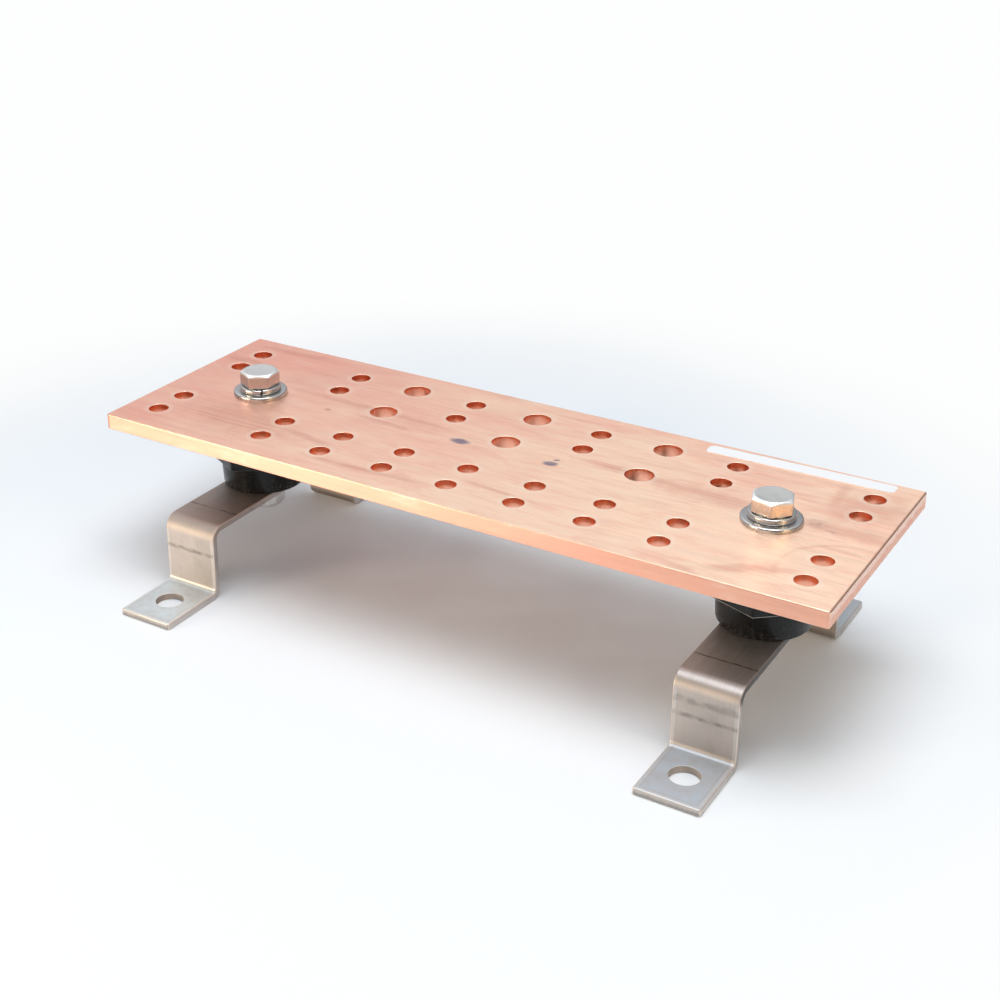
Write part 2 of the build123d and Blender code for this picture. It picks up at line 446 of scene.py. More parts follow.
def copperFinish():
    material, tree, shader = newMaterial("copper mill finish")
    coords = place(tree)
    nx, ny, nz = normalParts(tree)
    x, y, z = parts(tree, coords)
    fine = noise(tree, coords, (90, 2600, 2600), 4, 0.6)
    lines = noise(tree, coords, (24, 680, 680), 5, 0.65)
    bands = noise(tree, coords, (14, 170, 170), 5, 0.6, 0.8, (0.4, 1.7, 0))
    cloud = noise(tree, coords, (22, 48, 48), 4, 0.55, 0.0, (2.3, 0.6, 0))
    patches = noise(tree, coords, (55, 190, 190), 5, 0.6, 0.4, (5.1, 2.2, 0))
    fleck = noise(tree, coords, 1500, 2, 0.6)
    onTop = spread(tree, nz, 0.6, 0.9)
    outerY, outerX = (edge - copper["edgeBand"] for edge in (barHigh.y, barHigh.x))
    pastY = work(tree, "GREATER_THAN", size(tree, y), outerY)
    pastX = work(tree, "GREATER_THAN", size(tree, x), outerX)
    onSide = times(tree, spread(tree, size(tree, ny), 0.6, 0.9), pastY)
    onEnd = times(tree, spread(tree, size(tree, nx), 0.6, 0.9), pastX)

    # Paler to the right and towards the near edge: partly the copper's tone, partly a painted highlight
    along = spread(tree, x, -150 * mm, 40 * mm, 0.08, 0.92)
    frontHighlight = spread(tree, y, 50 * mm, -50 * mm, -0.13, 0.20)
    clouded = spread(tree, cloud, 0.3, 0.7, -0.34, 0.30)
    paleAndHighlightShare = plus(tree, along, frontHighlight, clouded, spread(tree, lines, 0.3, 0.7, -0.12, 0.12))
    colour = mixed(tree, spread(tree, paleAndHighlightShare, 0, 1), copper["rosy"], copper["pale"])
    colour = mixed(tree, onSide, colour, copper["face"])
    colour = mixed(tree, onEnd, colour, copper["end"])
    streak = times(tree, spread(tree, bands, 0.53, 0.75, 0, 0.34, True), spread(tree, lines, 0.35, 0.62))
    colour = mixed(tree, streak, colour, copper["brown"])
    for pattern, low, high, share, smooth, tint in (
        (patches, 0.48, 0.68, 0.32, True, "blush"), (patches, 0.46, 0.30, 0.22, True, "cream"),
        (lines, 0.50, 0.78, 0.30, False, "brown"), (fine, 0.42, 0.72, 0.40, False, "blush"),
        (fleck, 0.64, 0.80, 0.22, False, "brown"),
    ):
        colour = mixed(tree, spread(tree, pattern, low, high, 0, share, smooth), colour, copper[tint])

    # Stains, soot, a scuffed arc, paler rims round the holes, and ink; one broad stain is painted shadow of
    # the left bolt
    arc = copper["arc"]
    turned, fromArc = flatReach(tree, coords, arc["centre"])
    offLine = apart(tree, turned, arc["radius"])
    scuff = spread(tree, offLine, 0.2 * arc["width"], arc["width"], arc["share"], 0, True)
    arcX, arcY = parts(tree, fromArc)[:2]
    bearing = spread(tree, minus(tree, arcY, arcX), 0.3 * arc["radius"], 1.1 * arc["radius"])
    grimy = spread(tree, noise(tree, coords, 620, 2), 0.34, 0.70, 0.10, 0.46)
    for share, tint in (
        (times(tree, spots(tree, coords, copper["stainsAndShade"], 0.75, 0.5, 160),
               spread(tree, lines, 0.35, 0.62, 0.20, 0.54)), "stainAndShade"),
        (times(tree, spots(tree, coords, copper["soot"], 0.85, 0.45, 260), grimy), "sooty"),
        (times(tree, scuff, bearing, spread(tree, patches, 0.35, 0.55, 0.4, 1.0)), "brown"),
        (times(tree, holeHalo(tree, x, y), copper["haloShare"]), "cream"),
        (times(tree, spots(tree, coords, copper["inkMarks"], 0.45, 0.22, 520),
               spread(tree, fine, 0.3, 0.6, 0.62, 1.0)), "ink"),
    ):
        colour = mixed(tree, times(tree, share, onTop), colour, copper[tint])

    # Hole walls: painted shade above a painted floor reflection. Sheared ends: a dark line, a smooth band, a
    # torn band
    inside = minus(tree, 1.0, work(tree, "MAXIMUM", pastY, pastX))
    wallShare = times(tree, inside, spread(tree, size(tree, nz), 0.75, 0.35))
    depth = minus(tree, barHigh.z, z)
    atLarge = times(tree, work(tree, "GREATER_THAN", y, 2 * mm),
                    work(tree, "LESS_THAN", work(tree, "PINGPONG", x, drilling["pitch"]), 8 * mm))
    depths = (copper["deepSmall"], copper["deepLarge"])
    lit = blend(tree, atLarge, *[spread(tree, depth, *span, smooth=True) for span in depths])
    wallColour = mixed(tree, lit, copper["shadedWall"], copper["floorLitWall"])
    colour = mixed(tree, times(tree, wallShare, 0.9), colour, wallColour)
    waver = spread(tree, noise(tree, coords, (1, 300, 300), 3), 0.3, 0.7, -0.5 * mm, 0.5 * mm)
    ragged = plus(tree, depth, waver)
    torn = spread(tree, ragged, copper["burnish"], copper["burnish"] + 0.5 * mm, 0, 0.42)
    torn = times(tree, torn, onEnd)
    colour = mixed(tree, torn, colour, copper["wall"])

    # The saw's burr line along the right end, and the darker near left corner
    burr = times(tree, spread(tree, x, barHigh.x - 0.9 * mm, barHigh.x - 0.4 * mm),
                 spread(tree, nz, 0.10, 0.45), 0.75)
    colour = mixed(tree, burr, colour, copper["burr"])
    darkCorner = times(tree, spread(tree, x, barLow.x + 1.7 * mm, barLow.x + 1.2 * mm),
                   spread(tree, y, barLow.y + 2.0 * mm, barLow.y + 1.5 * mm), spread(tree, nz, 0.7, 0.3), 0.8)
    colour = mixed(tree, darkCorner, colour, copper["darkCorner"])

    shader.inputs["Anisotropic"].default_value = 0.65
    shader.inputs["Anisotropic Rotation"].default_value = 0.25
    flatShare = minus(tree, minus(tree, 1.0, onEnd), wallShare)
    grainWay = addNode(tree, "CombineXYZ", {0: flatShare, 1: onEnd, 2: wallShare}).outputs[0]
    tree.links.new(grainWay, shader.inputs["Tangent"])
    roughness = spread(tree, lines, 0.3, 0.7, *copper["roughness"])
    roughness = blend(tree, onSide, roughness, copper["faceRoughness"])
    roughness = blend(tree, wallShare, roughness, copper["wallRoughness"])
    roughness = plus(tree, roughness, times(tree, torn, 0.15))
    dress(tree, shader, colour, roughness, [(fine, 0.35, 0.03), (lines, 0.25, 0.08)], 1.0)
    return material


# Steel finishes

strip = {
    "base": (0.53, 0.475, 0.44), "smudge": (0.34, 0.32, 0.30), "mark": (0.10, 0.09, 0.08),
    "roughness": (0.44, 0.56), "footRoughness": 0.62, "bendRoughness": {"left": 0.66, "right": 0.50},
    "foot": {"left": (0.68, 0.76, 0.79), "right": (0.55, 0.63, 0.71)},
    "plate": {"left": (0.52, 0.48, 0.45), "right": (0.66, 0.67, 0.70)},
    "holeWallShade": (0.33, 0.27, 0.22),
    "plateSideShade": (0.09, 0.085, 0.08), "plateSideShadeShare": {"left": 0.0, "right": 0.85},
    "farLegShade": (0.34, 0.29, 0.25), "farFootShade": (0.36, 0.39, 0.40), "sheared": (0.30, 0.28, 0.27),
    "border": (0.74, 0.72, 0.70), "borderWidth": 1.5 * mm, "edge": (0.86, 0.70, 0.60),
    "endY": 79.0 * mm, "pressLineY": 34.8 * mm, "pressLineWidth": 0.55 * mm,
    "legBands": {"left": [(19.0, 1.7, 0.55)], "right": [(22.4, 2.7, 0.38), (16.3, 1.7, 0.50)]},
}


def stripFinish(side):
    material, tree, shader = newMaterial("stainless strip " + side)
    coords = place(tree)
    nx, ny, nz = normalParts(tree)
    x, y, z = parts(tree, coords)
    lines = noise(tree, coords, (1900, 22, 22), 4, 0.6)
    cloud = noise(tree, coords, 70, 4, 0.55)
    pits = noise(tree, coords, 900, 3, 0.6)
    smudge = spread(tree, cloud, 0.45, 0.72, 0, 0.45, True)
    smudge = plus(tree, smudge, spread(tree, lines, 0.35, 0.7, 0, 0.13))
    colour = mixed(tree, smudge, strip["base"], strip["smudge"])
    colour = mixed(tree, spread(tree, pits, 0.64, 0.78, 0, 0.35), colour, strip["smudge"])

    # The feet's bluish tone per side, paler on the left, is painted light and reflection
    onFoot = times(tree, spread(tree, z, 0.30 * plateTop, 0.15 * plateTop), spread(tree, nz, 0.5, 0.9))
    blotch = spread(tree, noise(tree, coords, 240, 5, 0.65), 0.4, 0.65, 1.0, 0.68)
    mottled = times(tree, onFoot, spread(tree, cloud, 0.35, 0.65, 1.0, 0.72), blotch)
    colour = mixed(tree, mottled, colour, strip["foot"][side])

    # Along its rims the strip is paler, and its eased edges carry a painted warm highlight
    low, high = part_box("bracket_" + side)
    toRim = minus(tree, (high.x - low.x) / 2, apart(tree, x, standoffX[side]))
    toRim = work(tree, "MINIMUM", toRim, minus(tree, high.y, size(tree, y)))
    toRim = plus(tree, toRim, spread(tree, noise(tree, coords, 420, 3), 0.3, 0.7, -0.12 * mm, 0.12 * mm))
    grooveAt = strip["borderWidth"] + 0.4 * mm
    onRim = spread(tree, toRim, grooveAt, strip["borderWidth"], 0, 0.34, True)
    groove = spread(tree, apart(tree, toRim, grooveAt), 0.1 * mm, 0.6 * mm, 0.18, 0, True)
    notPlate = spread(tree, z, 0.85 * plateTop, 0.75 * plateTop)
    colour = mixed(tree, times(tree, onRim, notPlate), colour, strip["border"])
    colour = mixed(tree, groove, colour, strip["smudge"])
    sideways = size(tree, nx)
    onWall = times(tree, spread(tree, size(tree, nz), 0.75, 0.35), spread(tree, toRim, 3 * mm, 4 * mm))
    # Painted shade on the plate's sides, under the bar
    plateSideShade = spread(tree, z, 0.80 * plateTop, 0.88 * plateTop, 0, strip["plateSideShadeShare"][side])
    # This mask paints shade on the far foot, behind the bar
    worn = times(tree, work(tree, "GREATER_THAN", y, 0), spread(tree, lines, 0.3, 0.6, 0.45, 0.80))
    onPlate = times(tree, spread(tree, z, 0.85 * plateTop, 0.95 * plateTop), spread(tree, nz, 0.6, 0.95))
    # Painted shade on the far leg's inner face
    onFarLeg = times(tree, work(tree, "GREATER_THAN", y, 30 * mm), spread(tree, ny, -0.5, -0.8))
    # Painted warm highlight on the eased edges
    eased = times(tree, spread(tree, sideways, 0.25, 0.6), spread(tree, sideways, 0.97, 0.85), 0.8)
    for share, tint in (
        (eased, strip["edge"]),
        # Painted shade in the foot holes
        (times(tree, onWall, spread(tree, z, 3.2 * mm, 2.9 * mm, 0, 0.75)), strip["holeWallShade"]),
        (times(tree, spread(tree, sideways, 0.5, 0.8), plateSideShade), strip["plateSideShade"]),
        (times(tree, onFoot, worn), strip["farFootShade"]),
        # The plate's tone per side, brighter on the right, is painted light and shade
        (times(tree, onPlate, spread(tree, lines, 0.35, 0.65, 0.85, 0.45)), strip["plate"][side]),
        (times(tree, onFarLeg, 0.7), strip["farLegShade"]),
    ):
        colour = mixed(tree, share, colour, tint)

    # The sheared end of a foot: a smooth bright band above a dull torn one
    depth = plus(tree, z, spread(tree, noise(tree, coords, 500, 3), 0.3, 0.7, -0.3 * mm, 0.3 * mm))
    torn = times(tree, work(tree, "GREATER_THAN", size(tree, y), strip["endY"]),
                 spread(tree, size(tree, ny), 0.6, 0.95), spread(tree, depth, 1.7 * mm, 1.2 * mm, 0.30, 0.85))
    colour = mixed(tree, torn, colour, strip["sheared"])

    # The press brake's line across the plate, and dark bands on the legs; the right leg's top band is painted
    # shade
    waver = spread(tree, noise(tree, coords, 260, 3), 0.3, 0.7, -0.25 * mm, 0.25 * mm)
    fromLine = size(tree, plus(tree, minus(tree, size(tree, y), strip["pressLineY"]), waver))
    line = spread(tree, fromLine, 0.2 * strip["pressLineWidth"], strip["pressLineWidth"], 1, 0, True)
    broken = spread(tree, noise(tree, coords, (160, 40, 40), 3), 0.36, 0.6, 0.25, 1.0)
    upperHalf = spread(tree, z, 0.5 * plateTop, 0.6 * plateTop)
    marks = [times(tree, line, broken, spread(tree, nz, 0.7, 0.95), upperHalf)]
    patchy = spread(tree, noise(tree, coords, (240, 40, 300), 4), 0.34, 0.62, 0.15, 1.0)
    onLeg = spread(tree, size(tree, ny), 0.7, 0.95)
    for height, width, share in strip["legBands"][side]:
        away = size(tree, plus(tree, minus(tree, z, height * mm), waver))
        band = spread(tree, away, 0.15 * width * mm, 0.75 * width * mm, share, 0, True)
        marks.append(times(tree, band, patchy, onLeg))
    colour = mixed(tree, most(tree, marks), colour, strip["mark"])

    uneven = plus(tree, times(tree, cloud, 0.6), times(tree, lines, 0.4))
    rough = spread(tree, uneven, 0.3, 0.7, *strip["roughness"])
    rough = blend(tree, onFoot, rough, strip["footRoughness"])
    onBend = times(tree, spread(tree, nz, 0.0, 0.15), spread(tree, nz, 0.99, 0.85), upperHalf)
    rough = blend(tree, onBend, rough, strip["bendRoughness"][side])
    dress(tree, shader, colour, rough, [(lines, 0.25, 0.05), (pits, 0.15, 0.05)], 1.0)
    return material


fastener = {
    "base": (0.62, 0.61, 0.60), "worn": (0.44, 0.43, 0.42),
    "under": (0.30, 0.255, 0.22), "underShadeShare": {"left": 0.0, "right": 0.85},
    "headTop": (0.66, 0.66, 0.645), "headRimHighlight": (0.86, 0.86, 0.85), "headSideReflection": (0.71, 0.61, 0.56),
    "roughness": (0.24, 0.34), "topRoughness": (0.42, 0.56),
}


def fastenerFinish(side):
    material, tree, shader = newMaterial("bright stainless " + side)
    coords = place(tree)
    reach = flatReach(tree, coords, (standoffX[side], 0, 0))[0]
    height = parts(tree, coords)[2]
    rings = {0: times(tree, reach, 2600), 1: times(tree, height, 1500)}
    rings = addNode(tree, "CombineXYZ", rings).outputs[0]
    turning = noise(tree, rings, 1.0, 3, 0.6)
    cloud = noise(tree, coords, 260, 4, 0.6)
    colour = mixed(tree, spread(tree, cloud, 0.45, 0.75, 0, 0.55), fastener["base"], fastener["worn"])
    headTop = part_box("top_bolt_" + side)[1].z
    onHead = spread(tree, height, headTop - 1.3 * mm, headTop - 0.9 * mm)
    scuffed = mixed(tree, spread(tree, cloud, 0.5, 0.75, 0, 0.35), fastener["headTop"], fastener["worn"])
    # Painted highlight on the ring round the head's top
    onRim = spread(tree, reach, 6.4 * mm, 6.9 * mm)
    # Painted warm reflection of the copper on the head's sides
    upright = spread(tree, size(tree, normalParts(tree)[2]), 0.5, 0.3)
    onSide = times(tree, upright, spread(tree, height, headTop - 5.8 * mm, headTop - 5.4 * mm), 0.8)
    colour = mixed(tree, onSide, colour, fastener["headSideReflection"])
    colour = mixed(tree, onHead, colour, mixed(tree, onRim, scuffed, fastener["headRimHighlight"]))
    # Painted shade on the parts under the bracket plate
    below = spread(tree, height, 0.95 * plateTop, 0.85 * plateTop, 0, fastener["underShadeShare"][side])
    colour = mixed(tree, below, colour, fastener["under"])
    ranges = (fastener["roughness"], fastener["topRoughness"])
    rough = blend(tree, onHead, *[spread(tree, cloud, 0.3, 0.7, *span) for span in ranges])
    dress(tree, shader, colour, rough, [(turning, 0.14, 0.03), (cloud, 0.06, 0.10)], 1.0)
    return material


# Moulded plastic and label finishes

moulding = {
    "black": (0.006, 0.007, 0.008), "dust": (0.16, 0.15, 0.14),
    "waistHighlight": (0.46, 0.43, 0.39),
    "waistHighlightHeight": plateTop + 12.3 * mm, "waistHighlightShare": {"left": 0.12, "right": 1.0},
    "roughness": (0.20, 0.42),
}


def mouldingFinish():
    material, tree, shader = newMaterial("black moulding")
    coords = place(tree)
    z = parts(tree, coords)[2]
    flow = noise(tree, coords, (420, 420, 60), 4, 0.6)
    speck = noise(tree, coords, 1100, 3, 0.65)
    cloud = noise(tree, coords, 120, 3, 0.5)
    nearFoot = spread(tree, z, plateTop + 7 * mm, plateTop, 0, 1)
    specks = spread(tree, speck, 0.58, 0.72, 0, 0.60)
    dusty = times(tree, plus(tree, nearFoot, 0.08), specks)
    film = times(tree, spread(tree, flow, 0.5, 0.75, 0, 0.22), plus(tree, nearFoot, 0.12))
    dusty = plus(tree, dusty, film)
    colour = mixed(tree, dusty, moulding["black"], moulding["dust"])

    # A painted highlight, a thin pale line round the lower edge of the waist
    fromEdge = apart(tree, z, moulding["waistHighlightHeight"])
    shares = []
    for side in sides:
        reach = flatReach(tree, coords, (standoffX[side], 0, 0))[0]
        shares.append(times(tree, spread(tree, reach, 19.4 * mm, 19.8 * mm),
                            work(tree, "LESS_THAN", reach, 30 * mm), moulding["waistHighlightShare"][side]))
    waistHighlight = times(tree, spread(tree, fromEdge, 0.26 * mm, 0.38 * mm, 1, 0), plus(tree, *shares),
                  spread(tree, cloud, 0.30, 0.50, 0.5, 1.0))
    colour = mixed(tree, waistHighlight, colour, moulding["waistHighlight"])
    shader.inputs["Specular IOR Level"].default_value = 0.26
    dull = plus(tree, cloud, times(tree, dusty, 0.3))
    rough = spread(tree, dull, 0.3, 0.9, *moulding["roughness"])
    dress(tree, shader, colour, rough, [(flow, 0.25, 0.12), (speck, 0.20, 0.05)])
    return material


label = {"white": (0.92, 0.93, 0.95), "shade": (0.82, 0.82, 0.83), "roughness": (0.32, 0.48)}


def labelFinish():
    material, tree, shader = newMaterial("white label film")
    coords = place(tree)
    cloud = noise(tree, coords, 90, 3, 0.5)
    fibre = noise(tree, coords, 2400, 2, 0.6)
    colour = mixed(tree, spread(tree, cloud, 0.4, 0.75, 0, 0.35), label["white"], label["shade"])
    rough = spread(tree, cloud, 0.3, 0.7, *label["roughness"])
    dress(tree, shader, colour, rough, [(cloud, 0.35, 0.25), (fibre, 0.10, 0.02)])
    return material


copperSkin = copperFinish()
stripSkin = {side: stripFinish(side) for side in sides}
fastenerSkin = {side: fastenerFinish(side) for side in sides}
mouldingSkin = mouldingFinish()
labelSkin = labelFinish()
print("materials made")


# The bar: a flat plate with pairs of lug holes across it and a bolt hole over each insulator

busbar = {
    "cornerRadius": 1.0 * mm, "boltHoleRadius": 5.555 * mm, "ease": 0.42 * mm, "holeEase": 0.22 * mm,
}


def makeBusbar():
    ends = [-drilling["endColumn"], drilling["endColumn"]]
    loops = [roundedLoop(barHigh.x, barHigh.y, busbar["cornerRadius"])]
    loops += [holeLoop(x, 0, busbar["boltHoleRadius"]) for x in standoffX.values()]
    for steps, sign, kind, others in (((-3, -1, 1, 3), 1, "small", ends), (range(-3, 4), -1, "small", ends),
                                      ((-2, 0, 2), 1, "large", [])):
        columns = [step * drilling["pitch"] for step in steps] + others
        for y in (drilling["outerY"], drilling["outerY"] - drilling[kind + "Gap"]):
            loops += [holeLoop(x, sign * y, drilling[kind + "Radius"]) for x in columns]
    eases = [busbar["ease"]] + [busbar["holeEase"]] * (len(loops) - 1)
    plate = drilledPlate(loops, eases, barHigh.z - barLow.z)
    middle = np.array([0, 0, (barHigh.z + barLow.z) / 2])

    def lift(flat, facing):
        return flat + middle, facing

    addPlate("busbar", plate, lift, copperSkin, "copper_bar")


makeBusbar()


# Brackets: a strip drilled flat and then bent into a hat

bracket = {
    "thick": 2.8 * mm, "topBend": 3.0 * mm, "footBend": 1.8 * mm, "legOuterY": 50.6 * mm,
    "boltHoleRadius": 5.555 * mm, "footHoleRadius": 5.555 * mm, "footHoleFromEnd": 15.2 * mm, "bendSteps": 14,
    "cornerRadius": 0.9 * mm, "ease": 0.6 * mm, "holeEase": 0.25 * mm,
}


def makeBracket(side):
    node = "bracket_" + side
    low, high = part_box(node)
    half = bracket["thick"] / 2
    topTurn, footTurn = bracket["topBend"] + half, bracket["footBend"] + half
    plateRun = bracket["legOuterY"] - half - topTurn
    legRun = high.z - 2 * half - topTurn - footTurn
    footRun = high.y - bracket["legOuterY"] + half - footTurn
    knots = np.cumsum([0, plateRun, topTurn * radians(90), legRun, footTurn * radians(90), footRun])
    slopes = np.radians([0, 0, -90, -90, 0, 0])
    table = np.linspace(0, knots[-1], 6001)
    slope = np.interp(table, knots, slopes)
    step = np.diff(table)
    pathY = np.append(0, np.cumsum((np.cos(slope[1:]) + np.cos(slope[:-1])) / 2 * step))
    pathZ = high.z - half + np.append(0, np.cumsum((np.sin(slope[1:]) + np.sin(slope[:-1])) / 2 * step))

    def bend(flat, facing):
        # Distance along the strip goes to a place on the hat's middle line, whose slope is level on the
        # plate and feet and upright on the legs. Height above the strip goes along the line's normal.
        along, half = np.abs(flat[:, 1]), np.sign(flat[:, 1])
        angle = np.interp(along, knots, slopes)
        y = np.interp(along, table, pathY) - flat[:, 2] * np.sin(angle)
        z = np.interp(along, table, pathZ) + flat[:, 2] * np.cos(angle)
        outward = facing[:, 1] * half
        faceY = outward * np.cos(angle) - facing[:, 2] * np.sin(angle)
        faceZ = outward * np.sin(angle) + facing[:, 2] * np.cos(angle)
        return (np.stack([flat[:, 0] + standoffX[side], half * y, z], -1),
                np.stack([facing[:, 0], half * faceY, faceZ], -1))

    footHole = knots[-1] - bracket["footHoleFromEnd"]
    loops = [roundedLoop((high.x - low.x) / 2, knots[-1], bracket["cornerRadius"]),
             holeLoop(0, 0, bracket["boltHoleRadius"])]
    loops += [holeLoop(0, sign * footHole, bracket["footHoleRadius"]) for sign in (-1, 1)]
    plate = drilledPlate(loops, [bracket["ease"]] + [bracket["holeEase"]] * 3, bracket["thick"])
    cuts = np.concatenate([np.linspace(knots[1], knots[2], bracket["bendSteps"]),
                           np.linspace(knots[3], knots[4], bracket["bendSteps"])])
    for place in np.concatenate([-cuts, cuts]):
        every = plate.verts[:] + plate.edges[:] + plate.faces[:]
        bmesh.ops.bisect_plane(plate, geom=every, dist=0.001 * mm, plane_co=(0, place, 0), plane_no=(0, 1, 0))
    addPlate("stripBracket_" + side, plate, bend, stripSkin[side], node)


for side in sides:
    makeBracket(side)
print("bar and brackets made")


# Insulators: a round moulding with a hexagonal waist and a blind bore in each end

insulator = {
    "endRadius": 17.3 * mm, "endChamfer": 0.7 * mm, "neckRadius": 18.0 * mm,
    "waistFlats": 40.8 * mm, "waistHeight": 8.3 * mm, "waistCorner": 1.5 * mm,
    "boreRadius": 4.8625 * mm, "bottomBore": 11.9 * mm, "topBore": 13.0 * mm,
    "turn": {"left": 33.0, "right": 40.5},
}


def makeInsulator(side):
    low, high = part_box("insulator_" + side)
    tall = high.z - low.z
    angles = hexAngles(insulator["waistFlats"], insulator["waistCorner"], 6, 14)
    waist = hexRadius(angles, insulator["waistFlats"], insulator["waistCorner"])
    waistLow = (tall - insulator["waistHeight"]) / 2
    waistHigh = waistLow + insulator["waistHeight"]
    end, ease, neck = insulator["endRadius"], insulator["endChamfer"], insulator["neckRadius"]
    bore = insulator["boreRadius"]
    corners = [
        (0, insulator["bottomBore"]), (bore, insulator["bottomBore"]), (bore, 0),
        (end - ease, 0), (end, ease), (neck, waistLow), (waist, waistLow), (waist, waistHigh),
        (neck, waistHigh), (end, tall - ease), (end - ease, tall), (bore, tall),
        (bore, tall - insulator["topBore"]), (0, tall - insulator["topBore"]),
    ]
    cuts = [0, 0, 0.3, 0.3, 0.3, 0.5, 0.55, 0.55, 0.5, 0.3, 0.3, 0.3, 0, 0]
    addTurned("standoffInsulator_" + side, corners, cuts, angles, (standoffX[side], 0, low.z),
              insulator["turn"][side], False, mouldingSkin, "insulator", "insulator_" + side)


for side in sides:
    makeInsulator(side)
print("insulators made")


# Hexagon head bolts

bolt = {
    "flats": 14.29 * mm, "corner": 0.25 * mm, "tall": 5.95 * mm, "faceTall": 0.35 * mm,
    "topInset": 0.5 * mm, "faceInset": 0.2 * mm, "chamferAngle": 30.0, "shankRadius": 4.7625 * mm,
    "dish": 0.12 * mm,
    "turn": {"top_left": 33.6, "top_right": -12.7, "bottom_left": 20.0, "bottom_right": 5.0},
}


def makeBolt(where, side):
    node = f"{where}_bolt_{side}"
    low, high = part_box(node)
    angles = hexAngles(bolt["flats"], bolt["corner"], 5, 14)
    hexagon = hexRadius(angles, bolt["flats"], bolt["corner"])
    topRadius = bolt["flats"] / 2 - bolt["topInset"]
    face = bolt["flats"] / 2 - bolt["faceInset"]
    edge = bolt["tall"] - (hexagon - topRadius) * tan(radians(bolt["chamferAngle"]))
    length = high.z - low.z - bolt["tall"]
    corners = [
        (0, bolt["tall"] - bolt["dish"]), (0.55 * topRadius, bolt["tall"] - bolt["dish"]),
        (topRadius, bolt["tall"]),
        (hexagon, edge), (hexagon, bolt["faceTall"]), (face, bolt["faceTall"]), (face, 0),
        (bolt["shankRadius"], 0), (bolt["shankRadius"], -length), (0, -length),
    ]
    cuts = [0, 2.2, 0.35, 0.22, 0.16, 0, 0.08, 0, 0, 0]
    flip = where == "bottom"
    seat = low.z + bolt["tall"] if flip else high.z - bolt["tall"]
    addTurned(f"hexBolt_{where}_{side}", corners, cuts, angles, (standoffX[side], 0, seat),
              bolt["turn"][f"{where}_{side}"], flip, fastenerSkin[side], "fastener_steel", node, 24)


# Flat and split lock washers

washer = {
    "flatBore": 5.15 * mm, "flatRim": 6.0 * mm, "lockBore": 4.95 * mm, "lockRim": 3.7 * mm,
    "split": 0.8 * mm, "slant": 12.0, "spring": 0.16 * mm,
    "splitAngle": {"top_left": -49.0, "top_right": 120.0, "bottom_left": 60.0, "bottom_right": 60.0},
}


def makeFlatWasher(side):
    node = "top_flat_washer_" + side
    low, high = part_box(node)
    thick = high.z - low.z
    inner, outer = washer["flatBore"], washer["flatBore"] + washer["flatRim"]
    angles = np.linspace(0, radians(360), 160, endpoint=False)
    corners = [(inner, 0), (inner, thick), (outer, thick), (outer, 0)]
    profile = softProfile(corners, [0.1 * mm, 0.3 * mm, 0.75 * mm, 0.2 * mm], 7)
    grid = turnedGrid(profile[:, None, :], angles, (standoffX[side], 0, low.z))
    faces = gridFaces(len(profile), len(angles), True, True)
    addPiece("flatWasher_" + side, grid, faces, fastenerSkin[side], "fastener_steel", node)


def makeLockWasher(where, side):
    # A section carried round the axis from one side of the split to the other. Both ends lean with the
    # slant, and the ring winds down by the spring that is left in it.
    node = f"{where}_lock_washer_{side}"
    low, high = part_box(node)
    thick = high.z - low.z
    inner, outer = washer["lockBore"], washer["lockBore"] + washer["lockRim"]
    spring = washer["spring"]
    under, over = spring / 2, thick - spring / 2
    corners = [(inner, under), (inner, over), (outer, over), (outer, under)]
    section = softProfile(corners, [0.5 * mm, 0.5 * mm, 0.7 * mm, 0.7 * mm], 6)
    gap = washer["split"] / outer
    angles = np.linspace(gap / 2, radians(360) - gap / 2, 140)
    lean = (section[:, 1] - thick / 2) * tan(radians(washer["slant"])) / outer
    around = angles[:, None] + lean[None] + radians(washer["splitAngle"][f"{where}_{side}"])
    height = section[None, :, 1] + spring * (0.5 - np.linspace(0, 1, len(angles))[:, None])
    radius = np.broadcast_to(section[None, :, 0], around.shape)
    grid = np.stack([radius * np.cos(around), radius * np.sin(around), height], -1)
    grid = grid + np.array([standoffX[side], 0, low.z])
    faces = gridFaces(len(angles), len(section), False, True)
    last = (len(angles) - 1) * len(section)
    faces.append(list(range(len(section))))
    faces.append(list(range(last, last + len(section))))
    addPiece(f"lockWasher_{where}_{side}", grid, faces, fastenerSkin[side], "fastener_steel", node)


for side in sides:
    for where in ("top", "bottom"):
        makeBolt(where, side)
        makeLockWasher(where, side)
    makeFlatWasher(side)
print("bolts and washers made")

nodes["label_strip"].data.materials.clear()
nodes["label_strip"].data.materials.append(labelSkin)


# Floor

backdrop = (0.985, 0.99, 0.99, 1)
ground = {
    "near": (0.88, 0.93, 0.975), "far": (0.97, 0.98, 0.985), "reach": 9.0,
    "middle": (-0.06, 0.0), "clearFrom": 0.17, "clearTo": 0.36,
}


